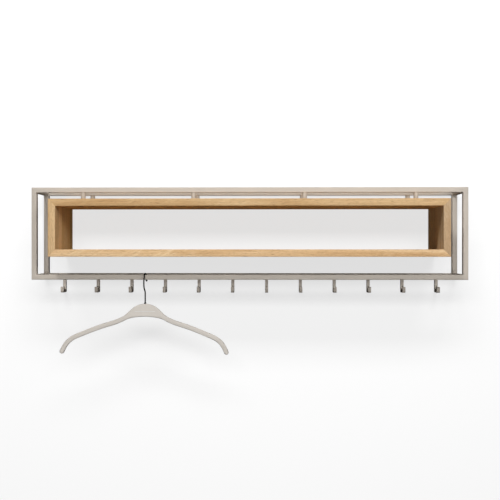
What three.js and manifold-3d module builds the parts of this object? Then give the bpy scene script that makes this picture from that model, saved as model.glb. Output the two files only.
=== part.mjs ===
// Wall hook rack: a square-tube steel frame that holds an open oak box, with a row of bent
// square-bar hooks under its rear rail and one coat hanger on its front rail.
// Millimetres, +Z up, +X to the right as seen from the room, the wall at Y = 0.
// The origin is the middle of the rear top rail's back face, which lies on the wall.

import * as THREE from 'three';
import * as BufferGeometryUtils from 'three/addons/utils/BufferGeometryUtils.js';
import Module from 'manifold-3d';

const wasm = await Module();
wasm.setup();

// ---------------------------------------------------------------- driving dimensions

// Steel frame
const FRAME_WIDTH = 1100;
const FRAME_HEIGHT = 233;
const FRAME_DEPTH = 120;
const TUBE = 13;                 // outside of the square tube
const TUBE_WALL = 1.5;
const TUBE_CORNER = 1.5;         // outside corner radius
const TUBE_BORE_CORNER = 0.5;    // inside corner radius
const SEAM = 0.2;                // gap left where two separate pieces meet

// Keyholes in the back of the rear top rail
const KEYHOLE_COUNT = 4;
const KEYHOLE_PITCH = 310;
const KEYHOLE_ENTRY = 7;         // diameter that the screw's head goes through
const KEYHOLE_SLOT = 4.2;        // width that its shank rises into
const KEYHOLE_RISE = 4;          // from the entry's centre to the slot's centre

// Oak box
const BOARD = 18;                // thickness of every board
const BOARD_EDGE = 0.8;          // chamfer along the long edges
const BOX_SIDE_GAP = 43.5;       // from an upright's inner face to the box
const BOX_HEIGHT = 143;
const BOX_DEPTH = 173;
const BOX_WALL_GAP = 1;          // from the wall to the back of the box

// Posts that carry the box, and their screws
const POST_DIAMETER = 12;
const POST_LENGTH = 18.5;
const POST_COUNT = 4;            // under each top rail
const POST_PITCH = 280;
const SCREW_DIAMETER = 5;
const SCREW_HEAD = 9.6;
const SCREW_HEAD_HEIGHT = 2.8;
const SCREW_RIM = 0.3;           // straight edge of the head
const SCREW_POINT = 0.8;         // chamfer at the screw's end
const SCREW_GRIP = 11.5;         // how far the screw goes into the post
const SCREW_DRIVE = 3;           // across the flats of the socket
const SCREW_DRIVE_DEPTH = 1.8;
const CLEARANCE = 0.3;           // around each screw

// Coat hooks
const HOOK_COUNT = 12;
const HOOK_PITCH = 90;
const HOOK_BAR = 8;              // square bar
const HOOK_DROP = 37.5;          // below the frame
const HOOK_REACH = 25;           // from the stem's centre to the tip's centre
const HOOK_TIP = 15.3;           // height of the upturned tip
const HOOK_BEND_OUTER = 4.5;
const HOOK_BEND_INNER = 2;
const HOOK_EDGE = 0.6;           // chamfer of the bar's edges

// Coat hanger, which hangs on the front bottom rail
const HANGER_X = -262.8;
const HANG_TILT = 0.75;          // degrees: its right arm hangs a little lower
const HANG_TURN = 3.5;           // degrees: its left arm stands a little off the wall
const WIRE_DIAMETER = 3.4;
const WIRE_LOOP = 41.2;          // inside diameter of the loop
const WIRE_STEM = 54.5;          // from the loop's centre down to the hanger's head
const WIRE_SIDES = 10;           // flats round the wire
const TIP_BALL = 5;
const TIP_SOCKET = 0.8;          // how far the ball's hole goes past its centre
const COLLAR_DIAMETER = 5.4;
const COLLAR_HEIGHT = 3;
const COLLAR_EDGE = 0.8;         // chamfer round its top
const SWIVEL_DEPTH = 16;         // of the shank inside the head
const SWIVEL_HEAD = 6;           // upset end that keeps the shank in the head
const SWIVEL_HEAD_HEIGHT = 2.5;
const SWIVEL_OVERHANG = 0.5;     // of the upset end below the shank
const SWIVEL_PLAY = 0.4;
const BODY_THICKNESS = 9;
const BODY_EDGE = 2.2;           // rounding of the hanger's edges
const ARM_WIDTH = 11.5;
const HEAD_RADIUS = 50;          // crown of the head
const HEAD_CROWN = 43;           // degrees of crown on each side of the middle
const HEAD_HEIGHT = 32.5;        // at the middle
const STRIPE_LENGTH = 52;        // plain groove across the head
const STRIPE_HEIGHT = 1.6;
const STRIPE_DEPTH = 0.5;
const STRIPE_DROP = 19.2;        // below the top of the head

// Fineness of the curves
const TUBE_CORNER_STEPS = 2;
const BOARD_CORNER_STEPS = 1;
const KEYHOLE_STEPS = 10;
const HOOK_BEND_STEPS = 4;
const POST_SIDES = 24;
const SCREW_SIDES = 16;
const SWIVEL_SIDES = 16;
const COLLAR_SIDES = 20;
const BALL_SIDES = 16;
const BALL_RINGS = 12;
const BALL_SOCKET_SIDES = 14;
const WIRE_ROUTE_POINTS = 90;
const WIRE_STEPS = 60;
const ARM_STEPS = 22;
const ARM_END_STEPS = 5;
const NECK_STEPS = 9;
const HEAD_UNDERSIDE_STEPS = 8;
const BODY_EDGE_STEPS = 2;

const OVERCUT = 1;               // how far a cutter stands out of what it cuts

// ---------------------------------------------------------------- places worked out from them

const tubeHalf = TUBE / 2;
const railX = (FRAME_WIDTH - TUBE) / 2;
const frontY = -FRAME_DEPTH + tubeHalf;
const rearY = -tubeHalf;
const topZ = 0;
const bottomZ = TUBE - FRAME_HEIGHT;
const middleZ = (topZ + bottomZ) / 2;
const railLowest = bottomZ - tubeHalf;

const boxWidth = FRAME_WIDTH - 2 * TUBE - 2 * BOX_SIDE_GAP;
const boxTop = topZ - tubeHalf - POST_LENGTH;
const boxMiddleZ = boxTop - BOX_HEIGHT / 2;
const boxMiddleY = -BOX_WALL_GAP - BOX_DEPTH / 2;
const boxUnderTopBoard = boxTop - BOARD;

// ---------------------------------------------------------------- materials

function finish(color, roughness, metalness) {
  return () => new THREE.MeshStandardMaterial({ color, roughness, metalness });
}

const steelPaint = finish(0xc9bfb3, 0.55, 0.1);
const oak = finish(0xd0a676, 0.6, 0);
const zinc = finish(0xb9bbbd, 0.35, 1);
const blackWire = finish(0x17181a, 0.4, 0.6);
const hangerPaint = finish(0xc8beb2, 0.6, 0);

// ---------------------------------------------------------------- helpers

const rack = new THREE.Group();

function addMesh(name, geometry, material, parent = rack) {
  const mesh = new THREE.Mesh(geometry, material);
  mesh.name = name;
  parent.add(mesh);
  return mesh;
}

// count positions, pitch apart and centred on zero
function row(count, pitch) {
  return Array.from({ length: count }, (_, i) => (i - (count - 1) / 2) * pitch);
}

function toSolid(geometry) {
  const bare = geometry.clone();
  bare.deleteAttribute('normal');
  bare.deleteAttribute('uv');
  const merged = BufferGeometryUtils.mergeVertices(bare, 1e-4);
  return new wasm.Manifold(new wasm.Mesh({
    numProp: 3,
    vertProperties: new Float32Array(merged.attributes.position.array),
    triVerts: new Uint32Array(merged.index.array),
  }));
}

function toGeometry(solid) {
  const mesh = solid.getMesh();
  const geometry = new THREE.BufferGeometry();
  geometry.setAttribute('position', new THREE.BufferAttribute(new Float32Array(mesh.vertProperties), 3));
  geometry.setIndex(new THREE.BufferAttribute(new Uint32Array(mesh.triVerts), 1));
  geometry.computeVertexNormals();
  return geometry;
}

function cut(geometry, cutters) {
  const solid = cutters.reduce((rest, cutter) => rest.subtract(toSolid(cutter)), toSolid(geometry));
  return toGeometry(solid);
}

// rectangle centred on zero with rounded corners
function blockOutline(width, height, corner, path = new THREE.Shape()) {
  const x = width / 2 - corner;
  const y = height / 2 - corner;
  path.absarc(x, y, corner, 0, Math.PI / 2);
  path.absarc(-x, y, corner, Math.PI / 2, Math.PI);
  path.absarc(-x, -y, corner, Math.PI, 1.5 * Math.PI);
  path.absarc(x, -y, corner, 1.5 * Math.PI, 2 * Math.PI);
  path.closePath();
  return path;
}

// solid of revolution about Z; the profile is a list of [radius, height] from the axis,
// up the outside and back to the axis
function turned(profile, sides) {
  const points = profile.map(([radius, height]) => new THREE.Vector2(radius, height));
  return new THREE.LatheGeometry(points, sides).rotateX(Math.PI / 2);
}

function cylinder(radius, low, high, sides) {
  return turned([[0, low], [radius, low], [radius, high], [0, high]], sides);
}

// ---------------------------------------------------------------- sections and mitred bars

// square tube, open at both ends, lying along Z from 0
function tubeAlongZ(length) {
  const outline = blockOutline(TUBE, TUBE, TUBE_CORNER);
  const bore = TUBE - 2 * TUBE_WALL;
  outline.holes.push(blockOutline(bore, bore, TUBE_BORE_CORNER, new THREE.Path()));
  return new THREE.ExtrudeGeometry(outline, {
    depth: length,
    bevelEnabled: false,
    curveSegments: TUBE_CORNER_STEPS,
  });
}

// board lying along Z from 0, its thickness along Y
function boardAlongZ(length) {
  const outline = blockOutline(BOX_DEPTH, BOARD, BOARD_EDGE);
  return new THREE.ExtrudeGeometry(outline, {
    depth: length,
    bevelEnabled: false,
    curveSegments: BOARD_CORNER_STEPS,
  });
}

// Lays a bar along X, centred, with its outer side up, and mitres both ends at 45 degrees
// so that the upper side keeps the full length.
function mitre(barAlongZ, length, thickness) {
  const bar = barAlongZ.translate(0, 0, -length / 2);
  const lay = new THREE.Matrix4().makeBasis(
    new THREE.Vector3(0, 1, 0),
    new THREE.Vector3(0, 0, 1),
    new THREE.Vector3(1, 0, 0),
  );
  bar.applyMatrix4(lay);
  const halfSeam = SEAM * Math.SQRT1_2;
  const position = bar.attributes.position;
  for (let i = 0; i < position.count; i += 1) {
    const x = position.getX(i);
    const belowTop = thickness / 2 - position.getZ(i);
    position.setX(i, x - Math.sign(x) * (belowTop + halfSeam));
  }
  return bar;
}

// quarter turns about Y that put a mitred bar's outer side up, right, down or left
const OUTER_SIDE = { top: 0, right: 1, bottom: 2, left: 3 };

function turnOuterSide(geometry, side) {
  return geometry.rotateY(OUTER_SIDE[side] * Math.PI / 2);
}

// ---------------------------------------------------------------- steel frame

// screw head enters the round hole and the shank rises into the slot above it
function keyholeCutter(x) {
  const lowest = -KEYHOLE_ENTRY / 2;
  const highest = KEYHOLE_RISE + KEYHOLE_SLOT / 2;
  const entryZ = -(lowest + highest) / 2;
  const half = KEYHOLE_SLOT / 2;
  const shoulder = Math.asin(half / (KEYHOLE_ENTRY / 2));
  const outline = new THREE.Shape();
  outline.absarc(0, 0, KEYHOLE_ENTRY / 2, Math.PI / 2 + shoulder, 2.5 * Math.PI - shoulder);
  outline.absarc(0, KEYHOLE_RISE, half, 0, Math.PI);
  outline.closePath();
  const cutter = new THREE.ExtrudeGeometry(outline, {
    depth: TUBE_WALL + 2 * OVERCUT,
    bevelEnabled: false,
    curveSegments: KEYHOLE_STEPS,
  });
  return cutter.rotateX(Math.PI / 2).translate(x, OVERCUT, topZ + entryZ);
}

function frameTube(side, y) {
  const upright = side === 'left' || side === 'right';
  const length = upright ? FRAME_HEIGHT : FRAME_WIDTH;
  const places = {
    top: [0, topZ],
    bottom: [0, bottomZ],
    left: [-railX, middleZ],
    right: [railX, middleZ],
  };
  const [x, z] = places[side];
  return turnOuterSide(mitre(tubeAlongZ(length), length, TUBE), side).translate(x, y, z);
}

for (const [face, y] of [['front', frontY], ['rear', rearY]]) {
  for (const side of ['top', 'bottom', 'left', 'right']) {
    const piece = side === 'left' || side === 'right' ? 'upright' : 'rail';
    let geometry = frameTube(side, y);
    if (face === 'rear' && side === 'top') {
      geometry = cut(geometry, row(KEYHOLE_COUNT, KEYHOLE_PITCH).map(keyholeCutter));
    }
    addMesh(`${face}_${side}_${piece}`, geometry, steelPaint());
  }
}

const crossLength = FRAME_DEPTH - 2 * TUBE - 2 * SEAM;
for (const [level, z] of [['top', topZ], ['bottom', bottomZ]]) {
  for (const [side, x] of [['left', -railX], ['right', railX]]) {
    const geometry = tubeAlongZ(crossLength).translate(0, 0, -crossLength / 2).rotateX(Math.PI / 2);
    const mesh = addMesh(`cross_tube_${level}_${side}`, geometry, steelPaint());
    mesh.position.set(x, (frontY + rearY) / 2, z);
  }
}

// ---------------------------------------------------------------- posts and screws

const postHole = SCREW_DIAMETER / 2 + CLEARANCE;
const postSpots = [];
for (const [face, y] of [['front', frontY], ['rear', rearY]]) {
  row(POST_COUNT, POST_PITCH).forEach((x, i) => {
    postSpots.push({ name: `${face}_post_${i + 1}`, x, y });
  });
}

// stub welded under a top rail, with a blind hole for the screw in its lower end
function post() {
  const holeDepth = SCREW_GRIP + 3 * CLEARANCE;
  const radius = POST_DIAMETER / 2;
  return turned([
    [0, holeDepth],
    [postHole, holeDepth],
    [postHole, SEAM / 2],
    [radius, SEAM / 2],
    [radius, POST_LENGTH - SEAM],
    [0, POST_LENGTH - SEAM],
  ], POST_SIDES);
}

// countersunk socket screw with its head's face at z = 0
function boxScrew() {
  const shank = SCREW_DIAMETER / 2;
  const length = BOARD + SCREW_GRIP;
  const blank = turned([
    [0, 0],
    [SCREW_HEAD / 2, 0],
    [SCREW_HEAD / 2, SCREW_RIM],
    [shank, SCREW_HEAD_HEIGHT],
    [shank, length - SCREW_POINT],
    [shank - SCREW_POINT, length],
    [0, length],
  ], SCREW_SIDES);
  const socketRadius = SCREW_DRIVE / Math.sqrt(3);
  const hexagon = 6;
  return cut(blank, [cylinder(socketRadius, -OVERCUT, SCREW_DRIVE_DEPTH, hexagon)]);
}

// hole for that screw through the top board, from its underside
function boxScrewHole() {
  const head = SCREW_HEAD / 2 + CLEARANCE;
  return turned([
    [0, -OVERCUT],
    [head, -OVERCUT],
    [head, SCREW_RIM],
    [postHole, SCREW_HEAD_HEIGHT],
    [postHole, BOARD + OVERCUT],
    [0, BOARD + OVERCUT],
  ], SCREW_SIDES);
}

for (const spot of postSpots) {
  addMesh(spot.name, post(), steelPaint()).position.set(spot.x, spot.y, boxTop);
}

for (const spot of postSpots) {
  const screwZ = boxUnderTopBoard + SEAM / 2;
  const mesh = addMesh(spot.name.replace('post', 'screw'), boxScrew(), zinc());
  mesh.position.set(spot.x, spot.y, screwZ);
}

// ---------------------------------------------------------------- oak box

function oakBoard(side) {
  const upright = side === 'left' || side === 'right';
  const length = upright ? BOX_HEIGHT : boxWidth;
  const sideX = (boxWidth - BOARD) / 2;
  const levelZ = (BOX_HEIGHT - BOARD) / 2;
  const places = {
    top: [0, boxMiddleZ + levelZ],
    bottom: [0, boxMiddleZ - levelZ],
    left: [-sideX, boxMiddleZ],
    right: [sideX, boxMiddleZ],
  };
  const [x, z] = places[side];
  return turnOuterSide(mitre(boardAlongZ(length), length, BOARD), side).translate(x, boxMiddleY, z);
}

for (const side of ['top', 'bottom', 'left', 'right']) {
  let geometry = oakBoard(side);
  if (side === 'top') {
    const holes = postSpots.map(({ x, y }) => boxScrewHole().translate(x, y, boxUnderTopBoard));
    geometry = cut(geometry, holes);
  }
  addMesh(`oak_${side}_board`, geometry, oak());
}

// ---------------------------------------------------------------- coat hooks

// side view of a hook: x runs out from the wall, y up, with the stem's top at y = 0
function hookOutline() {
  const half = HOOK_BAR / 2 - HOOK_EDGE;
  const tipX = HOOK_REACH;
  const floor = -HOOK_DROP + SEAM + HOOK_EDGE;
  const throat = -HOOK_DROP + SEAM + HOOK_BAR - HOOK_EDGE;
  const tipTop = -HOOK_DROP + SEAM + HOOK_TIP - HOOK_EDGE;
  const outer = HOOK_BEND_OUTER;
  const inner = HOOK_BEND_INNER;
  const outline = new THREE.Shape();
  outline.moveTo(-half, -HOOK_EDGE);
  outline.lineTo(-half, floor + outer);
  outline.absarc(-half + outer, floor + outer, outer, Math.PI, 1.5 * Math.PI);
  outline.absarc(tipX + half - outer, floor + outer, outer, 1.5 * Math.PI, 2 * Math.PI);
  outline.lineTo(tipX + half, tipTop);
  outline.lineTo(tipX - half, tipTop);
  outline.absarc(tipX - half - inner, throat + inner, inner, 0, -Math.PI / 2, true);
  outline.absarc(half + inner, throat + inner, inner, 1.5 * Math.PI, Math.PI, true);
  outline.lineTo(half, -HOOK_EDGE);
  outline.closePath();
  return outline;
}

function hook() {
  const bar = new THREE.ExtrudeGeometry(hookOutline(), {
    depth: HOOK_BAR - 2 * HOOK_EDGE,
    bevelEnabled: true,
    bevelThickness: HOOK_EDGE,
    bevelSize: HOOK_EDGE,
    bevelSegments: 1,
    curveSegments: HOOK_BEND_STEPS,
  });
  bar.translate(0, 0, -HOOK_BAR / 2 + HOOK_EDGE);
  const turnToWall = new THREE.Matrix4().makeBasis(
    new THREE.Vector3(0, -1, 0),
    new THREE.Vector3(0, 0, 1),
    new THREE.Vector3(-1, 0, 0),
  );
  return bar.applyMatrix4(turnToWall);
}

row(HOOK_COUNT, HOOK_PITCH).forEach((x, i) => {
  const name = `hook_${String(i + 1).padStart(2, '0')}`;
  addMesh(name, hook(), steelPaint()).position.set(x, rearY, railLowest - SEAM);
});

// ---------------------------------------------------------------- coat hanger

const wireRadius = WIRE_DIAMETER / 2;
const loopInside = WIRE_LOOP / 2;
const loopRadius = loopInside + wireRadius;

// The loop sits on the rail's two rounded top edges: this is the height of the rail's top
// above the loop's centre.
const seatReach = loopInside - TUBE_CORNER - CLEARANCE;
const railAboveLoop = TUBE_CORNER + Math.sqrt(seatReach ** 2 - (tubeHalf - TUBE_CORNER) ** 2);
const loopZ = bottomZ + tubeHalf - railAboveLoop;
const headTop = loopZ - WIRE_STEM;

const hanger = new THREE.Group();
hanger.position.set(HANGER_X, frontY, 0);
rack.add(hanger);

// Wire seen from the side, x towards the wall and y up, from the shank's lower end to the tip.
const LOOP_START = 215;          // degrees: where the stem's bend runs into the loop
const LOOP_END = 9;              // degrees: where the tip ball sits
const STEM_BEND = 27.5;          // below the loop's centre, where the stem starts to bend
const STEM_PULL = 6.1;           // how far the bend follows the stem's direction
const LOOP_PULL = 6.8;           // how far it follows the loop's

function wireRoute() {
  const start = THREE.MathUtils.degToRad(LOOP_START);
  const end = THREE.MathUtils.degToRad(LOOP_END);
  const loopFoot = new THREE.Vector2(Math.cos(start), Math.sin(start)).multiplyScalar(loopRadius);
  const lean = new THREE.Vector2(-Math.sin(start), Math.cos(start)).multiplyScalar(LOOP_PULL);
  const route = new THREE.Path();
  route.moveTo(0, -WIRE_STEM - SWIVEL_DEPTH);
  route.lineTo(0, -STEM_BEND);
  const pulled = loopFoot.clone().add(lean);
  route.bezierCurveTo(0, STEM_PULL - STEM_BEND, pulled.x, pulled.y, loopFoot.x, loopFoot.y);
  route.absarc(0, 0, loopRadius, start, end, true);
  const points = route.getSpacedPoints(WIRE_ROUTE_POINTS);
  return new THREE.CatmullRomCurve3(points.map((p) => new THREE.Vector3(0, p.x, loopZ + p.y)));
}

function wireHook() {
  const section = new THREE.Shape();
  section.absarc(0, 0, wireRadius, 0, 2 * Math.PI);
  const wire = new THREE.ExtrudeGeometry(section, {
    extrudePath: wireRoute(),
    steps: WIRE_STEPS,
    curveSegments: WIRE_SIDES / 2,
  });
  const foot = headTop - SWIVEL_DEPTH - SWIVEL_OVERHANG;
  const upset = cylinder(SWIVEL_HEAD / 2, foot, foot + SWIVEL_HEAD_HEIGHT, SWIVEL_SIDES);
  return toGeometry(toSolid(wire).add(toSolid(upset)));
}

// plastic ball pushed onto the end of the wire
function tipBall() {
  const end = THREE.MathUtils.degToRad(LOOP_END);
  const ball = new THREE.SphereGeometry(TIP_BALL / 2, BALL_SIDES, BALL_RINGS);
  const socket = cylinder(wireRadius + CLEARANCE, -TIP_SOCKET, TIP_BALL, BALL_SOCKET_SIDES).rotateX(end);
  return cut(ball, [socket]).translate(0, loopRadius * Math.cos(end), loopZ + loopRadius * Math.sin(end));
}

function collar() {
  const bore = wireRadius + CLEARANCE / 2;
  const radius = COLLAR_DIAMETER / 2;
  return turned([
    [bore, 0],
    [radius, 0],
    [radius, COLLAR_HEIGHT - COLLAR_EDGE],
    [radius - COLLAR_EDGE, COLLAR_HEIGHT],
    [bore, COLLAR_HEIGHT],
    [bore, 0],
  ], COLLAR_SIDES).translate(0, 0, headTop + SEAM);
}

// Middle line of the right arm, from the neck out to the middle of its round end.
// x from the hanger's middle, y from the top of its head.
const ARM_LINE = new THREE.SplineCurve([
  [57, -39.6], [78, -48.2], [104, -56.4], [129, -65.4], [154, -75.6], [178, -86.2],
  [192, -96.8], [200.5, -108.3], [207, -121.5],
].map(([x, y]) => new THREE.Vector2(x, y)));
const NECK_PULL = 8.3;           // how far the neck follows the crown's and the arm's direction
const UNDER_PULL = 37.6;         // from the middle, where the underside's curve is pulled to

function armSide(offset) {
  return Array.from({ length: ARM_STEPS + 1 }, (_, i) => {
    const t = i / ARM_STEPS;
    const tangent = ARM_LINE.getTangentAt(t);
    return ARM_LINE.getPointAt(t).add(new THREE.Vector2(-tangent.y, tangent.x).multiplyScalar(offset));
  });
}

function armEnd() {
  const centre = ARM_LINE.getPointAt(1);
  const tangent = ARM_LINE.getTangentAt(1);
  const heading = Math.atan2(tangent.y, tangent.x);
  return Array.from({ length: ARM_END_STEPS }, (_, i) => {
    const angle = heading + Math.PI / 2 - Math.PI * (i + 1) / (ARM_END_STEPS + 1);
    return new THREE.Vector2(Math.cos(angle), Math.sin(angle)).multiplyScalar(ARM_WIDTH / 2).add(centre);
  });
}

// right half of the hanger's outline, from the top of the head out and back to its underside
function halfOutline() {
  const crown = THREE.MathUtils.degToRad(HEAD_CROWN);
  const upper = armSide(ARM_WIDTH / 2);
  const lower = armSide(-ARM_WIDTH / 2).reverse();
  const neck = new THREE.Path();
  neck.absarc(0, -HEAD_RADIUS, HEAD_RADIUS, Math.PI / 2, Math.PI / 2 - crown, true);
  const flank = neck.currentPoint.clone();
  const lean = new THREE.Vector2(Math.cos(crown), -Math.sin(crown)).multiplyScalar(NECK_PULL);
  const into = ARM_LINE.getTangentAt(0).multiplyScalar(-NECK_PULL);
  const top = upper[0];
  neck.bezierCurveTo(flank.x + lean.x, flank.y + lean.y, top.x + into.x, top.y + into.y, top.x, top.y);
  const under = new THREE.Path();
  const bottom = lower[lower.length - 1];
  under.moveTo(bottom.x, bottom.y);
  under.quadraticCurveTo(UNDER_PULL, -HEAD_HEIGHT, 0, -HEAD_HEIGHT);
  return [
    ...neck.getPoints(NECK_STEPS),
    ...upper.slice(1),
    ...armEnd(),
    ...lower,
    ...under.getPoints(HEAD_UNDERSIDE_STEPS).slice(1),
  ];
}

function hangerBody() {
  const right = halfOutline();
  const left = right.slice(1, -1).reverse().map((p) => new THREE.Vector2(-p.x, p.y));
  const outline = new THREE.Shape([...right, ...left]);
  const plate = new THREE.ExtrudeGeometry(outline, {
    depth: BODY_THICKNESS - 2 * BODY_EDGE,
    bevelEnabled: true,
    bevelThickness: BODY_EDGE,
    bevelSize: BODY_EDGE,
    bevelOffset: -BODY_EDGE,
    bevelSegments: BODY_EDGE_STEPS,
  });
  plate.translate(0, 0, BODY_EDGE - BODY_THICKNESS / 2);
  plate.rotateX(Math.PI / 2);
  const groove = new THREE.BoxGeometry(STRIPE_LENGTH, 2 * STRIPE_DEPTH, STRIPE_HEIGHT)
    .translate(0, -BODY_THICKNESS / 2, -STRIPE_DROP);
  const tilt = THREE.MathUtils.degToRad(HANG_TILT);
  plate.rotateY(tilt);
  groove.rotateY(tilt);
  const shankHole = cylinder(wireRadius + SWIVEL_PLAY, -SWIVEL_DEPTH, OVERCUT, SWIVEL_SIDES);
  const chamberFloor = -SWIVEL_DEPTH - SWIVEL_OVERHANG - SWIVEL_PLAY;
  const chamberTop = chamberFloor + SWIVEL_HEAD_HEIGHT + 2 * SWIVEL_PLAY;
  const chamber = cylinder(SWIVEL_HEAD / 2 + SWIVEL_PLAY, chamberFloor, chamberTop, SWIVEL_SIDES);
  const body = cut(plate, [groove, shankHole, chamber]);
  return body.rotateZ(THREE.MathUtils.degToRad(HANG_TURN)).translate(0, 0, headTop);
}

addMesh('hanger_wire_hook', wireHook(), blackWire(), hanger);
addMesh('hanger_tip_ball', tipBall(), blackWire(), hanger);
addMesh('hanger_collar', collar(), blackWire(), hanger);
addMesh('hanger_body', hangerBody(), hangerPaint(), hanger);

export default rack;
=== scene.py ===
"""Looks of the wall hook rack: a steel tube frame, an open oak box, twelve coat hooks and one
coat hanger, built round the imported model. Metres, +Z up, the wall at y = 0."""

import math

import bpy
from mathutils import Euler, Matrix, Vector


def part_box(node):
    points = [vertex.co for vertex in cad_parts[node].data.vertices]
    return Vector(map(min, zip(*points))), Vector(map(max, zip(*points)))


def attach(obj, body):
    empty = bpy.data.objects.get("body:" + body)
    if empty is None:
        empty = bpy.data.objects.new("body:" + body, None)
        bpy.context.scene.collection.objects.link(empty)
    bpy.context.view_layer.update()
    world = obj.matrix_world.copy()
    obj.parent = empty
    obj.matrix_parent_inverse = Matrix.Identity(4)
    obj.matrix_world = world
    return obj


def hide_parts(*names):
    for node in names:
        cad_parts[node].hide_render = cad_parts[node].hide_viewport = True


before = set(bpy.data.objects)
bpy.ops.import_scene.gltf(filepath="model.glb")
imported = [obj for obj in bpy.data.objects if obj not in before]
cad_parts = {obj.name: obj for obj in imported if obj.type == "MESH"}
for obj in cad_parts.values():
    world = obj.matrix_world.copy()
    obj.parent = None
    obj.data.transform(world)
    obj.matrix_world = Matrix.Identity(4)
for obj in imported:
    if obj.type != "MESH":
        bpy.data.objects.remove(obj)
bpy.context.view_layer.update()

# ---------------------------------------------------------------- sizes from the frame

MM = 0.001
low = {name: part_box(name)[0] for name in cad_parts}
high = {name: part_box(name)[1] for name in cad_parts}

FRAME_LEFT = low["front_left_upright"].x
FRAME_RIGHT = high["front_right_upright"].x
FRAME_TOP = high["front_top_rail"].z
FRAME_BOTTOM = low["front_bottom_rail"].z
FRAME_FRONT = low["front_top_rail"].y
FRAME_BACK = high["rear_top_rail"].y
TUBE = high["front_top_rail"].z - low["front_top_rail"].z
TUBE_CORNER = 1.5 * MM
BOX_FRONT = low["oak_top_board"].y
BOX_BACK = high["oak_top_board"].y
BOX_TOP = high["oak_top_board"].z
BOX_BOTTOM = low["oak_bottom_board"].z
BOX_LEFT = low["oak_left_board"].x
BOX_RIGHT = high["oak_right_board"].x
BOARD = high["oak_top_board"].z - low["oak_top_board"].z

COUNT_OF_POSTS = 4
COUNT_OF_KEYHOLES = 4
KEYHOLE_PITCH = 310 * MM
KEYHOLE_DROP = 1.3 * MM
FLOOR_HEIGHT = -1.8
WALL_TONE = 0.16
FLOOR_GLOW = 0.62
WALL_GLOW = 0.73
MIDDLE_OF_RACK = Vector((0, -0.1, -0.15))
HOOK_NAMES = sorted(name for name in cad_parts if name.startswith("hook_"))
POST_NAMES = [f"{face}_post_{i + 1}" for face in ("front", "rear") for i in range(COUNT_OF_POSTS)]


def middle(name):
    return (low[name] + high[name]) / 2


# ---------------------------------------------------------------- modelling helpers


def deselect_all():
    if bpy.context.object and bpy.context.object.mode != "OBJECT":
        bpy.ops.object.mode_set(mode="OBJECT")
    bpy.ops.object.select_all(action="DESELECT")


def activate(piece):
    deselect_all()
    piece.select_set(True)
    bpy.context.view_layer.objects.active = piece


def settle(piece):
    """Puts the piece's place, turn and size into its mesh."""
    activate(piece)
    bpy.ops.object.transform_apply(location=True, rotation=True, scale=True)


def block(name, lowest, highest):
    """A box between two corners."""
    lowest, highest = Vector(lowest), Vector(highest)
    deselect_all()
    bpy.ops.mesh.primitive_cube_add(size=1, location=(lowest + highest) / 2)
    piece = bpy.context.object
    piece.name = name
    piece.scale = highest - lowest
    settle(piece)
    return piece


def select_faces(piece, test):
    """Selects the faces whose middle and normal pass the test, and leaves edit mode on."""
    activate(piece)
    bpy.ops.object.mode_set(mode="EDIT")
    bpy.ops.mesh.select_mode(type="FACE")
    bpy.ops.mesh.select_all(action="DESELECT")
    bpy.ops.object.mode_set(mode="OBJECT")
    for face in piece.data.polygons:
        face.select = bool(test(face.center, face.normal))
    bpy.ops.object.mode_set(mode="EDIT")


def select_edges(piece, test):
    """Selects the edges whose two ends pass the test, and leaves edit mode on."""
    activate(piece)
    bpy.ops.object.mode_set(mode="EDIT")
    bpy.ops.mesh.select_mode(type="EDGE")
    bpy.ops.mesh.select_all(action="DESELECT")
    bpy.ops.object.mode_set(mode="OBJECT")
    points = piece.data.vertices
    for edge in piece.data.edges:
        a, b = (points[i].co for i in edge.vertices)
        edge.select = bool(test(a, b))
    bpy.ops.object.mode_set(mode="EDIT")


def extrude(piece, test, move):
    """Pulls the faces that pass the test out by a step."""
    select_faces(piece, test)
    bpy.ops.mesh.extrude_region_move(TRANSFORM_OT_translate={"value": move})
    bpy.ops.object.mode_set(mode="OBJECT")


def bevel_edges(piece, test, width, segments):
    select_edges(piece, test)
    bpy.ops.mesh.bevel(offset=width, offset_type="OFFSET", segments=segments, affect="EDGES")
    bpy.ops.object.mode_set(mode="OBJECT")


def cut_off(piece, point, normal):
    """Cuts the piece with a plane, takes away the side that the normal points to and closes it."""
    activate(piece)
    bpy.ops.object.mode_set(mode="EDIT")
    bpy.ops.mesh.select_all(action="SELECT")
    bpy.ops.mesh.bisect(plane_co=point, plane_no=normal, use_fill=True, clear_outer=True)
    bpy.ops.object.mode_set(mode="OBJECT")


def apply_modifier(piece, kind, **settings):
    activate(piece)
    modifier = piece.modifiers.new(kind.title(), kind)
    for key, value in settings.items():
        setattr(modifier, key, value)
    bpy.ops.object.modifier_apply(modifier=modifier.name)


def round_edges(piece, width, segments=3, degrees=40):
    apply_modifier(piece, "BEVEL", width=width, segments=segments, limit_method="ANGLE",
                   angle_limit=math.radians(degrees))


def cut_out(piece, cutter):
    apply_modifier(piece, "BOOLEAN", operation="DIFFERENCE", solver="EXACT", object=cutter)
    bpy.data.objects.remove(cutter)


def join(first, *others):
    activate(first)
    for other in others:
        other.select_set(True)
    bpy.ops.object.join()
    return first


def shade(piece, degrees=35):
    activate(piece)
    bpy.ops.object.shade_smooth_by_angle(angle=math.radians(degrees))


def copy_to(piece, name, move):
    """A copy with its own mesh, moved in the mesh."""
    deselect_all()
    other = piece.copy()
    other.data = piece.data.copy()
    other.name = name
    bpy.context.collection.objects.link(other)
    other.location = move
    settle(other)
    return other


def finish_piece(piece, material, slot, body, *nodes):
    piece.data.materials.clear()
    piece.data.materials.append(material)
    if nodes:
        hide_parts(*nodes)
    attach(piece, body)
    return piece


# ---------------------------------------------------------------- material helpers


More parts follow.
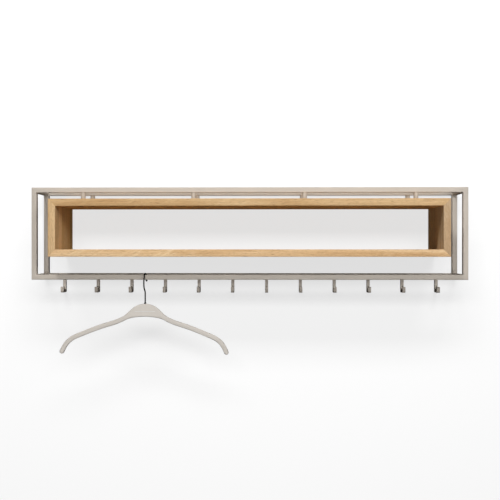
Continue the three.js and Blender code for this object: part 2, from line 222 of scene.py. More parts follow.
class Nodes:
    """Short names for building a material's node tree."""

    def __init__(self, name):
        self.material = bpy.data.materials.new(name)
        self.material.use_nodes = True
        self.tree = self.material.node_tree
        self.shader = self.tree.nodes["Principled BSDF"]

    def node(self, kind, **settings):
        made = self.tree.nodes.new(kind)
        for key, value in settings.items():
            setattr(made, key, value)
        return made

    def link(self, source, target):
        self.tree.links.new(source, target)

    def set(self, **values):
        for key, value in values.items():
            self.shader.inputs[key.replace("_", " ")].default_value = value

    def mapped(self, scale=(1, 1, 1), offset=(0, 0, 0)):
        """Object coordinates, moved and then scaled."""
        place = self.node("ShaderNodeTexCoord")
        mapping = self.node("ShaderNodeMapping")
        mapping.inputs["Location"].default_value = offset
        mapping.inputs["Scale"].default_value = scale
        self.link(place.outputs["Object"], mapping.inputs["Vector"])
        return mapping.outputs["Vector"]

    def noise(self, vector, scale, detail=2.0, roughness=0.5, distortion=0.0):
        made = self.node("ShaderNodeTexNoise")
        for key, value in (("Scale", scale), ("Detail", detail), ("Roughness", roughness),
                           ("Distortion", distortion)):
            made.inputs[key].default_value = value
        self.link(vector, made.inputs["Vector"])
        return made.outputs["Fac"]

    def ramp(self, factor, *stops):
        made = self.node("ShaderNodeValToRGB")
        points = made.color_ramp.elements
        while len(points) < len(stops):
            points.new(0.5)
        for point, (position, colour) in zip(points, stops):
            point.position = position
            point.color = colour if len(colour) == 4 else (*colour, 1)
        self.link(factor, made.inputs["Fac"])
        return made.outputs["Color"]

    def mix(self, factor, first, second, blend="MIX"):
        made = self.node("ShaderNodeMix", data_type="RGBA", blend_type=blend)
        for socket, value in (("Factor_Float", factor), ("A_Color", first), ("B_Color", second)):
            target = next(s for s in made.inputs if s.identifier == socket)
            if isinstance(value, bpy.types.NodeSocket):
                self.link(value, target)
            else:
                target.default_value = value if isinstance(value, float) else (*value, 1)
        return next(s for s in made.outputs if s.identifier == "Result_Color")

    def math(self, operation, first, second=None):
        made = self.node("ShaderNodeMath", operation=operation)
        for target, value in zip(made.inputs, (first, second)):
            if isinstance(value, bpy.types.NodeSocket):
                self.link(value, target)
            elif value is not None:
                target.default_value = value
        return made.outputs["Value"]

    def stretch(self, factor, low_in, high_in, low_out, high_out):
        made = self.node("ShaderNodeMapRange")
        for key, value in (("From Min", low_in), ("From Max", high_in),
                           ("To Min", low_out), ("To Max", high_out)):
            made.inputs[key].default_value = value
        self.link(factor, made.inputs["Value"])
        return made.outputs["Result"]

    def bump(self, height, distance, strength=1.0, over=None):
        made = self.node("ShaderNodeBump")
        made.inputs["Distance"].default_value = distance
        made.inputs["Strength"].default_value = strength
        self.link(height, made.inputs["Height"])
        if over is not None:
            self.link(over, made.inputs["Normal"])
        return made.outputs["Normal"]


def to_linear(*rgb):
    """A colour picked on a 0 to 255 screen scale, as the linear values that shaders take."""
    return tuple(((c / 255 + 0.055) / 1.055) ** 2.4 for c in rgb)


# ---------------------------------------------------------------- materials


def powder_coat(name, colour, grain=1.0):
    """Fine-textured matt powder coat: a slight orange peel, tiny pits and a faint mottle."""
    n = Nodes(name)
    place = n.mapped()
    mottle = n.noise(place, 14, 3)
    speck = n.noise(place, 2600, 1)
    darker = [c * 0.955 for c in colour]
    lighter = [min(1, c * 1.03) for c in colour]
    tone = n.ramp(mottle, (0.3, darker), (0.7, lighter))
    specked = n.mix(n.stretch(speck, 0.35, 0.7, 0.0, 0.16), tone, tuple(c * 0.72 for c in colour))
    n.link(specked, n.shader.inputs["Base Color"])
    n.link(n.stretch(n.noise(place, 900, 2), 0.3, 0.7, 0.46, 0.6), n.shader.inputs["Roughness"])
    peel = n.bump(n.noise(place, 420, 2), 0.00012 * grain)
    n.link(n.bump(speck, 0.00005 * grain, over=peel), n.shader.inputs["Normal"])
    n.set(Metallic=0.0)
    n.shader.inputs["Specular IOR Level"].default_value = 0.45
    return n.material


def satin_black(name, scratches):
    n = Nodes(name)
    place = n.mapped()
    wear = n.noise(n.mapped(scale=(1, 1, 6)), 700, 4, 0.7)
    colour = n.ramp(wear, (0.25, (0.004, 0.004, 0.004)), (0.8, (0.012, 0.0115, 0.011)))
    n.link(colour, n.shader.inputs["Base Color"])
    n.link(n.stretch(n.noise(place, 300, 3), 0.3, 0.7, 0.34, 0.5), n.shader.inputs["Roughness"])
    n.shader.inputs["Specular IOR Level"].default_value = 0.14
    n.link(n.bump(wear, 0.00003 * scratches), n.shader.inputs["Normal"])
    return n.material


def zinc_plate():
    n = Nodes("zinc_plate")
    place = n.mapped()
    spangle = n.noise(place, 900, 3)
    n.link(n.ramp(spangle, (0.3, (0.42, 0.43, 0.45)), (0.7, (0.62, 0.62, 0.61))),
           n.shader.inputs["Base Color"])
    n.link(n.stretch(n.noise(place, 1800, 2), 0.3, 0.7, 0.24, 0.42), n.shader.inputs["Roughness"])
    n.link(n.bump(spangle, 0.00004), n.shader.inputs["Normal"])
    n.set(Metallic=1.0)
    return n.material


def pale_ink():
    """The plain stripe on the hanger's head."""
    n = Nodes("pale_ink")
    blotch = n.noise(n.mapped(), 1500, 2)
    n.link(n.ramp(blotch, (0.3, to_linear(214, 213, 209)), (0.7, to_linear(226, 225, 221))),
           n.shader.inputs["Base Color"])
    n.link(n.stretch(blotch, 0.3, 0.7, 0.5, 0.65), n.shader.inputs["Roughness"])
    return n.material


OAK_LIGHT = to_linear(226, 190, 146)
OAK_MID = to_linear(212, 172, 126)
OAK_SHADE = to_linear(200, 158, 112)
OAK_DARK = to_linear(178, 134, 90)
OAK_PORE = to_linear(128, 88, 54)
OAK_RAY = to_linear(238, 208, 168)
OAK_FLAKE = to_linear(240, 210, 166)
# Painted shade: the oak is made darker and warmer towards the wall, standing in for shade inside
# the box.
PAINTED_WALLWARD_SHADE = (0.95, 0.89, 0.7)


def oiled_oak(name, along, seed, staves, flaking, painted_light_tint, stave=0.027):
    """Oak glued up from staves that run along one axis, x or z. Each stave has its own tone and
    figure; the grain runs along it, with open pores, pale rays and patches of slanting flakes.
    The colour is made darker and warmer towards the wall as painted shade, and each board's
    colour is scaled by a painted light tint for how lit that board is."""
    n = Nodes(name)
    place = n.mapped(offset=(seed * 0.37, 0, seed * 0.21))
    split = n.node("ShaderNodeSeparateXYZ")
    n.link(place, split.inputs["Vector"])
    stave_number = n.math("FLOOR", n.math("DIVIDE", n.math("ADD", split.outputs["Y"], 0.3), stave))
    tone = n.node("ShaderNodeTexWhiteNoise", noise_dimensions="1D")
    n.link(n.math("ADD", stave_number, staves), tone.inputs["W"])
    shifted = n.node("ShaderNodeCombineXYZ")
    n.link(n.math("MULTIPLY", tone.outputs["Value"], 3.0), shifted.inputs["X"])
    n.link(n.math("MULTIPLY", tone.outputs["Value"], 7.0), shifted.inputs["Z"])
    moved = n.node("ShaderNodeVectorMath", operation="ADD")
    n.link(place, moved.inputs[0])
    n.link(shifted.outputs["Vector"], moved.inputs[1])

    def stretched(lengthwise, across, slant=0):
        turn = n.node("ShaderNodeVectorRotate", rotation_type="Y_AXIS")
        turn.inputs["Angle"].default_value = math.radians(slant)
        scale = n.node("ShaderNodeVectorMath", operation="MULTIPLY")
        sizes = (lengthwise, across, across) if along == "x" else (across, across, lengthwise)
        scale.inputs[1].default_value = sizes
        n.link(moved.outputs["Vector"], turn.inputs["Vector"])
        n.link(turn.outputs["Vector"], scale.inputs[0])
        return scale.outputs["Vector"]

    rings = n.noise(stretched(2.2, 46), 1, 4, 0.55, 0.9)
    streaks = n.noise(stretched(9, 420), 1, 3, 0.6)
    pores = n.noise(stretched(85, 2400), 1, 1, 0.5)
    rays = n.noise(stretched(60, 600), 1, 1, 0.5)
    flakes = n.noise(stretched(22, 170, slant=27), 1, 2, 0.5)
    patches = n.noise(stretched(7, 9), 1, 2, 0.5)
    wood = n.ramp(rings, (0.28, OAK_SHADE), (0.44, OAK_MID), (0.62, OAK_LIGHT), (0.78, OAK_MID))
    in_patches = n.stretch(patches, 0.5, 0.6, 0, 1)
    flaked = n.math("MULTIPLY", n.stretch(flakes, 0.5, 0.66, 0.0, flaking), in_patches)
    wood = n.mix(flaked, wood, OAK_FLAKE)
    wood = n.mix(n.stretch(streaks, 0.42, 0.72, 0.0, 0.5), wood, OAK_DARK)
    wood = n.mix(n.stretch(pores, 0.6, 0.72, 0.0, 0.75), wood, OAK_PORE)
    wood = n.mix(n.stretch(rays, 0.68, 0.8, 0.0, 0.35), wood, OAK_RAY)
    bright = n.stretch(tone.outputs["Value"], 0.0, 1.0, 0.8, 1.12)
    shade_of = n.node("ShaderNodeCombineColor")
    for channel in ("Red", "Green", "Blue"):
        n.link(bright, shade_of.inputs[channel])
    wood = n.mix(1.0, wood, shade_of.outputs["Color"], "MULTIPLY")
    # Painted light and shade: the board's tint scales its colour for how lit the board is.
    wood = n.mix(1.0, wood, painted_light_tint, "MULTIPLY")
    # Painted shade: darker and warmer towards the wall.
    depth = n.stretch(split.outputs["Y"], BOX_FRONT, BOX_BACK, 0.0, 1.0)
    wood = n.mix(depth, wood, n.mix(1.0, wood, PAINTED_WALLWARD_SHADE, "MULTIPLY"))
    n.link(wood, n.shader.inputs["Base Color"])
    n.link(n.stretch(streaks, 0.3, 0.7, 0.46, 0.6), n.shader.inputs["Roughness"])
    grain = n.bump(streaks, 0.00012)
    n.link(n.bump(pores, 0.00022, 0.8, over=grain), n.shader.inputs["Normal"])
    n.shader.inputs["Specular IOR Level"].default_value = 0.12
    return n.material


STEEL_COLOUR = to_linear(198, 188, 176)
steel_paint = powder_coat("steel_paint", STEEL_COLOUR)
hanger_paint = powder_coat("hanger_paint", to_linear(209, 202, 193), grain=0.5)
black_wire = satin_black("black_wire", 1.0)
black_plastic = satin_black("black_plastic", 0.4)
zinc = zinc_plate()
stripe_ink = pale_ink()

# ---------------------------------------------------------------- steel frame


def tube(name, axis, lowest, highest):
    """A square bar along one axis, its four long edges rounded."""
    piece = block(name, lowest, highest)
    along = "xyz".index(axis)
    bevel_edges(piece, lambda a, b: abs(a[along] - b[along]) > TUBE, TUBE_CORNER, 5)
    return piece


def mitre_corner(piece, x_side, z_side):
    """Cuts one end of a front or rear tube at 45 degrees, through the frame's outer corner."""
    x = FRAME_RIGHT if x_side > 0 else FRAME_LEFT
    z = FRAME_TOP if z_side > 0 else FRAME_BOTTOM
    rail = piece.dimensions.x > piece.dimensions.z
    normal = Vector((x_side, 0, -z_side) if rail else (-x_side, 0, z_side))
    cut_off(piece, (x, 0, z), normal)


def keyhole(x, z):
    """Cutter for one keyhole in the back of the rear top rail: a round entry and a slot above."""
    entry, slot, rise, depth = 3.5 * MM, 2.1 * MM, 4 * MM, 8 * MM
    deselect_all()
    bpy.ops.mesh.primitive_cylinder_add(vertices=40, radius=entry, depth=2 * depth,
                                        location=(x, FRAME_BACK, z), rotation=(math.pi / 2, 0, 0))
    round_part = bpy.context.object
    settle(round_part)
    nearly_round = slot * 0.98
    slot_part = block("slot", (x - slot, FRAME_BACK - depth, z),
                      (x + slot, FRAME_BACK + depth, z + rise + slot))
    bevel_edges(slot_part, lambda a, b: min(a.z, b.z) > z + rise and abs(a.y - b.y) > depth,
                nearly_round, 8)
    apply_modifier(round_part, "BOOLEAN", operation="UNION", solver="EXACT", object=slot_part)
    bpy.data.objects.remove(slot_part)
    return round_part


def build_frame():
    faces = {
        "front": (FRAME_FRONT, FRAME_FRONT + TUBE),
        "rear": (FRAME_BACK - TUBE, FRAME_BACK),
    }
    for face, (y0, y1) in faces.items():
        for side in ("top", "bottom"):
            z0 = FRAME_TOP - TUBE if side == "top" else FRAME_BOTTOM
            rail = tube(f"{face}_{side}_rail_tube", "x", (FRAME_LEFT, y0, z0),
                        (FRAME_RIGHT, y1, z0 + TUBE))
            for x_side in (-1, 1):
                mitre_corner(rail, x_side, 1 if side == "top" else -1)
            if (face, side) == ("rear", "top"):
                for i in range(COUNT_OF_KEYHOLES):
                    place = (i - (COUNT_OF_KEYHOLES - 1) / 2) * KEYHOLE_PITCH
                    cut_out(rail, keyhole(place, FRAME_TOP - TUBE / 2 - KEYHOLE_DROP))
            shade(rail)
            finish_piece(rail, steel_paint, "steel_paint", "rack", f"{face}_{side}_rail")
        for side in ("left", "right"):
            x0 = FRAME_LEFT if side == "left" else FRAME_RIGHT - TUBE
            upright = tube(f"{face}_{side}_upright_tube", "z", (x0, y0, FRAME_BOTTOM),
                           (x0 + TUBE, y1, FRAME_TOP))
            for z_side in (-1, 1):
                mitre_corner(upright, 1 if side == "right" else -1, z_side)
            shade(upright)
            finish_piece(upright, steel_paint, "steel_paint", "rack", f"{face}_{side}_upright")
    into = 2 * MM
    for level in ("top", "bottom"):
        for side in ("left", "right"):
            node = f"cross_tube_{level}_{side}"
            lowest, highest = low[node].copy(), high[node].copy()
            lowest.y -= into
            highest.y += into
            cross = tube(f"{node}_bar", "y", lowest, highest)
            shade(cross)
            finish_piece(cross, steel_paint, "steel_paint", "rack", node)


# ---------------------------------------------------------------- posts, screws and hooks


def build_post():
    """One round post with the weld that runs round its top, standing on z = 0."""
    height = FRAME_TOP - TUBE - BOX_TOP
    radius = 6 * MM
    weld = 0.5 * MM
    deselect_all()
    bpy.ops.mesh.primitive_cylinder_add(vertices=56, radius=radius, depth=height - weld,
                                        location=(0, 0, (height - weld) / 2))
    post = bpy.context.object
    settle(post)
    bevel_edges(post, lambda a, b: max(a.z, b.z) < 0.1 * MM, 0.5 * MM, 3)
    steps = 4
    turns = [math.pi / 2 * i / steps for i in range(steps + 1)]
    for was, turn in zip(turns, turns[1:]):
        rise = weld * (math.sin(turn) - math.sin(was))
        wider = (radius + weld * (1 - math.cos(turn))) / (radius + weld * (1 - math.cos(was)))
        top = max(v.co.z for v in post.data.vertices)
        select_faces(post, lambda centre, normal: normal.z > 0.9)
        bpy.ops.mesh.extrude_region_move(TRANSFORM_OT_translate={"value": (0, 0, rise)})
        bpy.ops.transform.resize(value=(wider, wider, 1), center_override=(0, 0, top))
        bpy.ops.object.mode_set(mode="OBJECT")
    shade(post, 40)
    return post


def build_posts():
    pattern = build_post()
    for node in POST_NAMES:
        spot = middle(node)
        post = copy_to(pattern, f"{node}_stub", (spot.x, spot.y, BOX_TOP))
        finish_piece(post, steel_paint, "steel_paint", "rack", node)
    bpy.data.objects.remove(pattern)


def build_hook():
    """One coat hook bent from square bar, its stem's top in the middle of the rail's underside."""
    half = 4 * MM
    bar = 2 * half
    drop = FRAME_BOTTOM - low["hook_01"].z
    reach = 25 * MM
    tip = 15.3 * MM
    outer_bend, inner_bend = 4.5 * MM, 2 * MM
    hook = block("hook", (-half, -half, -drop + bar), (half, half, 0))
    extrude(hook, lambda c, n: n.z < -0.9, (0, 0, -bar))
    extrude(hook, lambda c, n: n.y < -0.9 and c.z < -drop + bar, (0, -(reach - bar), 0))
    extrude(hook, lambda c, n: n.y < -0.9 and c.z < -drop + bar, (0, -bar, 0))
    extrude(hook, lambda c, n: n.z > 0.9 and c.y < -reach + half, (0, 0, tip - bar))

    def across(a, b):
        return abs(a.x - b.x) > half

    def near(a, y, z):
        return abs(a.y - y) < 0.01 * MM and abs(a.z - z) < 0.01 * MM

    for y in (half, -reach - half):
        bevel_edges(hook, lambda a, b: across(a, b) and near(a, y, -drop), outer_bend, 8)
    for y in (-half, -reach + half):
        bevel_edges(hook, lambda a, b: across(a, b) and near(a, y, -drop + bar), inner_bend, 5)
    round_edges(hook, 0.6 * MM, 3)
    pad = Vector((half + 0.9 * MM, half + 0.9 * MM, 0.8 * MM))
    weld = block("weld", -pad, pad)
    round_edges(weld, 0.75 * MM, 4)
    join(hook, weld)
    shade(hook, 40)
    return hook


def build_hooks():
    pattern = build_hook()
    stem_y = FRAME_BACK - TUBE / 2
    for node in HOOK_NAMES:
        hook = copy_to(pattern, f"coat_{node}", (middle(node).x, stem_y, FRAME_BOTTOM))
        finish_piece(hook, steel_paint, "steel_paint", "rack", node)
    bpy.data.objects.remove(pattern)


# ---------------------------------------------------------------- oak box


# Painted light and shade: each board's colour is scaled lighter, darker or bluer to stand in for
# how light falls on that board.
BOARD_PAINTED_LIGHT_TINTS = {
    "top": (1.12, 1.15, 1.1),
    "bottom": (1.19, 1.24, 1.27),
    "left": (1.02, 1.06, 1.05),
    "right": (0.84, 0.94, 1.1),
}
STAVE_TONES = {"top": 7.3, "bottom": 14.6, "left": 1073.1, "right": 883.3}
FLAKING = {"top": 0.25, "bottom": 0.6, "left": 0.2, "right": 0.3}


def screw_hole(x, y):
    """Cutter for a countersunk hole up into the top board."""
    under = BOX_TOP - BOARD
    mouth, throat, depth, out = 5.4 * MM, 2.9 * MM, 3.4 * MM, 0.3 * MM
    deselect_all()
    bpy.ops.mesh.primitive_cone_add(vertices=40, radius1=mouth, radius2=throat, depth=depth,
                                    location=(x, y, under + depth / 2 - out))
    cone = bpy.context.object
    settle(cone)
    return cone


def board(name, lowest, highest, along, cuts):
    piece = block(name, lowest, highest)
    axis = "xyz".index(along)
    bevel_edges(piece, lambda a, b: abs(a[axis] - b[axis]) > 2 * BOARD, 0.8 * MM, 3)
    for point, normal in cuts:
        cut_off(piece, point, normal)
    return piece


def build_box():
    left, right, top, bottom = BOX_LEFT, BOX_RIGHT, BOX_TOP, BOX_BOTTOM
    y0, y1 = BOX_FRONT, BOX_BACK
    corners = {
        "top": [((left, 0, top), (-1, 0, -1)), ((right, 0, top), (1, 0, -1))],
        "bottom": [((left, 0, bottom), (-1, 0, 1)), ((right, 0, bottom), (1, 0, 1))],
        "left": [((left, 0, top), (1, 0, 1)), ((left, 0, bottom), (1, 0, -1))],
        "right": [((right, 0, top), (-1, 0, 1)), ((right, 0, bottom), (-1, 0, -1))],
    }
    places = {
        "top": ((left, y0, top - BOARD), (right, y1, top), "x"),
        "bottom": ((left, y0, bottom), (right, y1, bottom + BOARD), "x"),
        "left": ((left, y0, bottom), (left + BOARD, y1, top), "z"),
        "right": ((right - BOARD, y0, bottom), (right, y1, top), "z"),
    }
    for number, (side, (lowest, highest, along)) in enumerate(places.items()):
        piece = board(f"oak_{side}", lowest, highest, along, corners[side])
        if side == "top":
            for node in POST_NAMES:
                spot = middle(node)
                cut_out(piece, screw_hole(spot.x, spot.y))
        shade(piece)
        wood = oiled_oak(f"oak_{side}", along, number + 1, STAVE_TONES[side], FLAKING[side],
                         BOARD_PAINTED_LIGHT_TINTS[side])
        finish_piece(piece, wood, "oak", "rack", f"oak_{side}_board")


# ---------------------------------------------------------------- coat hanger

WIRE = 1.7 * MM
BALL_RADIUS = 2.5 * MM
LOOP_RADIUS = 22.3 * MM
LOOP_FOOT = 215
LOOP_TIP = 9
STEM_BEND = 27.5 * MM
STEM_PULL = 6.12 * MM
LOOP_PULL = 6.8 * MM
HANGER_X = middle("hanger_collar").x
HANGER_Y = middle("hanger_collar").y
HEAD_TOP = low["hanger_collar"].z - 0.2 * MM
LOOP_Z = HEAD_TOP + 54.5 * MM
HANG = Euler((0, math.radians(0.75), math.radians(3.5)))
ARM_WIDTH = 11.5 * MM
ARM_ROOT = 57 * MM
HEAD_DEPTH = 32.5 * MM


def catmull_rom(points, share):
    """Point on the uniform Catmull-Rom curve through the points, share from 0 to 1."""
    spans = len(points) - 1
    at = min(share * spans, spans - 1e-9)
    i, t = int(at), at - int(at)
    p0 = points[max(i - 1, 0)]
    p1, p2 = points[i], points[i + 1]
    p3 = points[min(i + 2, spans)]
    a = (p2 - p0) / 2
    b = (p3 - p1) / 2
    return ((2 * t ** 3 - 3 * t ** 2 + 1) * p1 + (t ** 3 - 2 * t ** 2 + t) * a
            + (3 * t ** 2 - 2 * t ** 3) * p2 + (t ** 3 - t ** 2) * b)


def bezier(p0, p1, p2, p3, count):
    made = []
    for i in range(1, count + 1):
        t = i / count
        u = 1 - t
        made.append(u ** 3 * p0 + 3 * u * u * t * p1 + 3 * u * t * t * p2 + t ** 3 * p3)
    return made


def polar(degrees, radius=1.0):
    turn = math.radians(degrees)
    return Vector((math.cos(turn), math.sin(turn))) * radius


def arm_line():
    """The right arm's middle line, x from the hanger's middle and y from the head's top."""
    points = [Vector((ARM_ROOT, -39.6 * MM))] + [Vector(p) * MM for p in (
        (78, -48.2), (104, -56.4), (129, -65.4), (154, -75.6), (178, -86.2),
        (192, -96.8), (200.5, -108.3), (207, -121.5))]
    count = 72
    line = [catmull_rom(points, i / count) for i in range(count + 1)]
    ways = [(line[min(i + 1, count)] - line[max(i - 1, 0)]).normalized() for i in range(count + 1)]
    return line, ways


def hanger_outline():
    """The whole outline of the hanger's body, clockwise from the top of its head."""
    line, ways = arm_line()
    half = ARM_WIDTH / 2
    upper = [p + Vector((-w.y, w.x)) * half for p, w in zip(line, ways)]
    lower = [p - Vector((-w.y, w.x)) * half for p, w in zip(line, ways)]
    radius, crown = 50 * MM, 43
    centre = Vector((0, -radius))
    dome = [centre + polar(90 - crown * i / 16, radius) for i in range(17)]
    flank = dome[-1]
    lean = Vector((math.cos(math.radians(crown)), -math.sin(math.radians(crown)))) * radius / 6
    neck = bezier(flank, flank + lean, upper[0] - ways[0] * radius / 6, upper[0], 14)
    heading = math.degrees(math.atan2(ways[-1].y, ways[-1].x))
    end = [line[-1] + polar(heading + 90 - 180 * i / 16, half) for i in range(1, 16)]
    start = lower[0]
    pull = Vector((ARM_ROOT * 0.66, -HEAD_DEPTH))
    finish = Vector((0, -HEAD_DEPTH))
    under = []
    for i in range(1, 17):
        t = i / 16
        under.append((1 - t) ** 2 * start + 2 * t * (1 - t) * pull + t * t * finish)
    right = dome + neck + upper[1:] + end + lower[::-1] + under
    left = [Vector((-p.x, p.y)) for p in right[1:-1]][::-1]
    return right + left


def build_hanger_body():
    outline = hanger_outline()
    thickness, edge = 9 * MM, 2.2 * MM
    shape = bpy.data.curves.new("hanger_outline", "CURVE")
    shape.dimensions = "2D"
    shape.fill_mode = "BOTH"
    spline = shape.splines.new("POLY")
    spline.points.add(len(outline) - 1)
    for point, place in zip(spline.points, outline):
        point.co = (place.x, place.y, 0, 1)
    spline.use_cyclic_u = True
    shape.offset = -edge
    shape.extrude = thickness / 2 - edge
    shape.bevel_depth = edge
    shape.bevel_resolution = 4
    body = bpy.data.objects.new("hanger_plate", shape)
    bpy.context.collection.objects.link(body)
    activate(body)
    bpy.ops.object.convert(target="MESH")
    body = bpy.context.object
    body.rotation_euler = Euler((math.pi / 2, 0, 0))
    settle(body)
    body.rotation_euler = HANG
    body.location = (HANGER_X, HANGER_Y, HEAD_TOP)
    settle(body)
    activate(body)
    bpy.ops.object.mode_set(mode="EDIT")
    bpy.ops.mesh.select_all(action="SELECT")
    bpy.ops.mesh.remove_doubles(threshold=0.00001)
    bpy.ops.mesh.normals_make_consistent(inside=False)
    bpy.ops.object.mode_set(mode="OBJECT")
    shade(body, 30)
    finish_piece(body, hanger_paint, "hanger_paint", "hanger", "hanger_body")
    half_stripe = Vector((26, 0.35, 0.75)) * MM
    stripe = block("hanger_stripe", -half_stripe, half_stripe)
    round_edges(stripe, 0.3 * MM, 3)
    sunk, drop = 0.28 * MM, 19.2 * MM
    place = Vector((0, sunk - thickness / 2, -drop))
    place.rotate(HANG)
    stripe.location = Vector((HANGER_X, HANGER_Y, HEAD_TOP)) + place
    stripe.rotation_euler = HANG
    settle(stripe)
    shade(stripe)
    finish_piece(stripe, stripe_ink, "hanger_paint", "hanger")


def wire_route():
    """Middle line of the wire, from inside the head up to the tip of the loop."""
    foot = polar(LOOP_FOOT, LOOP_RADIUS)
    lean = polar(LOOP_FOOT + 90, LOOP_PULL)
    flat = [Vector((0, -60 * MM)), Vector((0, -45 * MM)), Vector((0, -STEM_BEND))]
    flat += bezier(flat[-1], Vector((0, STEM_PULL - STEM_BEND)), foot + lean, foot, 14)
    steps = 64
    flat += [polar(LOOP_FOOT - (LOOP_FOOT - LOOP_TIP) * i / steps, LOOP_RADIUS)
             for i in range(1, steps + 1)]
    return [Vector((HANGER_X, HANGER_Y + p.x, LOOP_Z + p.y)) for p in flat]


def build_wire():
    route = wire_route()
    line = bpy.data.curves.new("wire_line", "CURVE")
    line.dimensions = "3D"
    spline = line.splines.new("POLY")
    spline.points.add(len(route) - 1)
    for point, place in zip(spline.points, route):
        point.co = (*place, 1)
    line.bevel_depth = WIRE
    line.bevel_resolution = 6
    line.use_fill_caps = True
    wire = bpy.data.objects.new("hanger_wire", line)
    bpy.context.collection.objects.link(wire)
    activate(wire)
    bpy.ops.object.convert(target="MESH")
    wire = bpy.context.object
    shade(wire, 50)
    finish_piece(wire, black_wire, "black_wire", "hanger_hook", "hanger_wire_hook")

    deselect_all()
    bpy.ops.mesh.primitive_uv_sphere_add(segments=32, ring_count=20, radius=BALL_RADIUS,
                                         location=(0, 0, 0))
    ball = bpy.context.object
    ball.name = "hanger_ball"
    neck_at, neck_length = 1.5 * MM, 1.3 * MM
    cut_off(ball, (0, 0, -neck_at), Vector((0, 0, -1)))
    extrude(ball, lambda centre, normal: normal.z < -0.99, (0, 0, -neck_length))
    end = 0.1 * MM - neck_at - neck_length
    bevel_edges(ball, lambda a, b: max(a.z, b.z) < end, 0.2 * MM, 3)
    ball.rotation_euler = (route[-1] - route[-2]).to_track_quat("Z", "Y").to_euler()
    ball.location = route[-1]
    settle(ball)
    shade(ball, 40)
    finish_piece(ball, black_plastic, "black_plastic", "hanger_hook", "hanger_tip_ball")

    bpy.ops.mesh.primitive_cylinder_add(vertices=48, radius=2.7 * MM, depth=3 * MM,
                                        location=(HANGER_X, HANGER_Y, HEAD_TOP + 1.7 * MM))
    collar = bpy.context.object
    collar.name = "hanger_ferrule"
    settle(collar)
    top = HEAD_TOP + 3.1 * MM
    bevel_edges(collar, lambda a, b: min(a.z, b.z) > top, 0.8 * MM, 4)
    shade(collar, 50)
    finish_piece(collar, black_plastic, "black_plastic", "hanger_hook", "hanger_collar")


# ---------------------------------------------------------------- stage, light and camera


def build_stage():
    """A wall that glows a little and can be seen through from behind, and a pale floor."""
    deselect_all()
    bpy.ops.mesh.primitive_plane_add(size=1, location=(0, FRAME_BACK + 0.5 * MM, 0.3),
                                     rotation=(math.pi / 2, 0, 0))
    wall = bpy.context.object
    wall.name = "studio_wall"
    wall.scale = (7, 4.2, 1)
    wall.visible_shadow = False
    wall.visible_diffuse = False
    wall.visible_glossy = False
    n = Nodes("studio_wall")
    n.set(Roughness=1.0, Emission_Strength=WALL_GLOW)
    n.shader.inputs["Base Color"].default_value = (WALL_TONE, WALL_TONE, WALL_TONE, 1)
    n.shader.inputs["Emission Color"].default_value = (1, 1, 1, 1)
    n.shader.inputs["Specular IOR Level"].default_value = 0.0
    side = n.node("ShaderNodeNewGeometry")
    clear = n.node("ShaderNodeBsdfTransparent")
    either = n.node("ShaderNodeMixShader")
    output = n.tree.nodes["Material Output"]
    n.link(side.outputs["Backfacing"], either.inputs[0])
    n.link(n.shader.outputs[0], either.inputs[1])
    n.link(clear.outputs[0], either.inputs[2])
    n.link(either.outputs[0], output.inputs["Surface"])
    wall.data.materials.append(n.material)

    bpy.ops.mesh.primitive_plane_add(size=40, location=(0, 0, FLOOR_HEIGHT))
    floor = bpy.context.object
    floor.name = "studio_floor"
    floor.visible_diffuse = False
    floor.visible_glossy = False
    paint = Nodes("studio_floor")
    paint.set(Roughness=0.9)
    paint.shader.inputs["Base Color"].default_value = (0.3, 0.3, 0.3, 1)
    paint.shader.inputs["Emission Color"].default_value = (1, 1, 1, 1)
    paint.shader.inputs["Emission Strength"].default_value = FLOOR_GLOW
    floor.data.materials.append(paint.material)
    return wall


def softbox(name, place, width, height, power, only_on=None, never_on=None):
    """A rectangular lamp aimed at the rack. It may light one thing only, or all but one."""
    light = bpy.data.lights.new(name, "AREA")
    light.shape = "RECTANGLE"
    light.size = width
    light.size_y = height
    light.energy = power
    lamp = bpy.data.objects.new(name, light)
    bpy.context.collection.objects.link(lamp)
    lamp.location = place
    lamp.rotation_euler = (MIDDLE_OF_RACK - Vector(place)).to_track_quat("-Z", "Y").to_euler()
    chosen = only_on or never_on
    if chosen:
        receivers = bpy.data.collections.new(f"{name}_receivers")
        receivers.objects.link(chosen)
        lamp.light_linking.receiver_collection = receivers
        linking = receivers.collection_objects[0].light_linking
        linking.link_state = "INCLUDE" if only_on else "EXCLUDE"
    return lamp


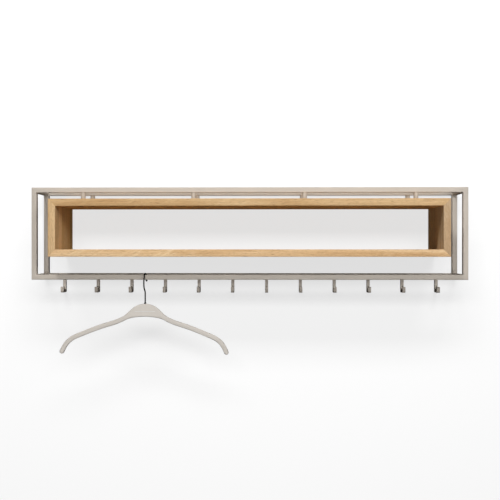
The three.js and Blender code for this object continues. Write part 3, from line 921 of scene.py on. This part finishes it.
def from_rack(side, front, up, distance):
    """A place at a distance from the rack, in a direction given by its three parts."""
    return MIDDLE_OF_RACK + Vector((side, -front, up)).normalized() * distance


def build_light(wall):
    """Lamps for the rack, lamps for the wall, and a sun from behind for views of the back."""
    softbox("key", from_rack(-0.5, 1, 1.43, 3.2), 0.35, 0.35, 48, never_on=wall)
    softbox("front", from_rack(0, 1, 0, 4), 1.4, 1.2, 70, never_on=wall)
    softbox("fill", from_rack(0.8, 1, 0.6, 4), 1.4, 1.4, 59, never_on=wall)
    softbox("bounce", from_rack(0, 1, -1.6, 4), 2.4, 1.2, 9, never_on=wall)
    softbox("wall_low", from_rack(0, 1, 0.49, 3), 2.8, 0.6, 115, only_on=wall)
    softbox("wall_high", from_rack(0, 1, 1.43, 3), 2.8, 0.5, 170, only_on=wall)
    back = bpy.data.lights.new("back", "SUN")
    back.energy = 2.2
    back.angle = math.radians(12)
    lamp = bpy.data.objects.new("back", back)
    bpy.context.collection.objects.link(lamp)
    lamp.rotation_euler = (math.radians(-86), 0, 0)
    lamp.visible_glossy = False

    world = bpy.data.worlds.new("studio")
    bpy.context.scene.world = world
    world.use_nodes = True
    world.node_tree.nodes["Background"].inputs["Color"].default_value = (1, 1, 1, 1)
    world.node_tree.nodes["Background"].inputs["Strength"].default_value = 0.9
    world.cycles_visibility.diffuse = False
    world.cycles_visibility.glossy = False


def build_camera():
    lens = bpy.data.cameras.new("camera")
    lens.sensor_width = 36
    lens.lens = 53.93
    camera = bpy.data.objects.new("camera", lens)
    bpy.context.collection.objects.link(camera)
    camera.location = (0.0324, -2.005, -0.1473)
    camera.rotation_euler = Euler((math.pi / 2 - 0.0022, 0, 0.0158))
    bpy.context.scene.camera = camera


bpy.context.scene.view_settings.view_transform = "Standard"
build_camera()
build_frame()
build_posts()
build_hooks()
build_box()
build_hanger_body()
build_wire()
for name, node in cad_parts.items():
    if "screw" in name:
        node.data.materials.clear()
        node.data.materials.append(zinc)
studio_wall = build_stage()
build_light(studio_wall)
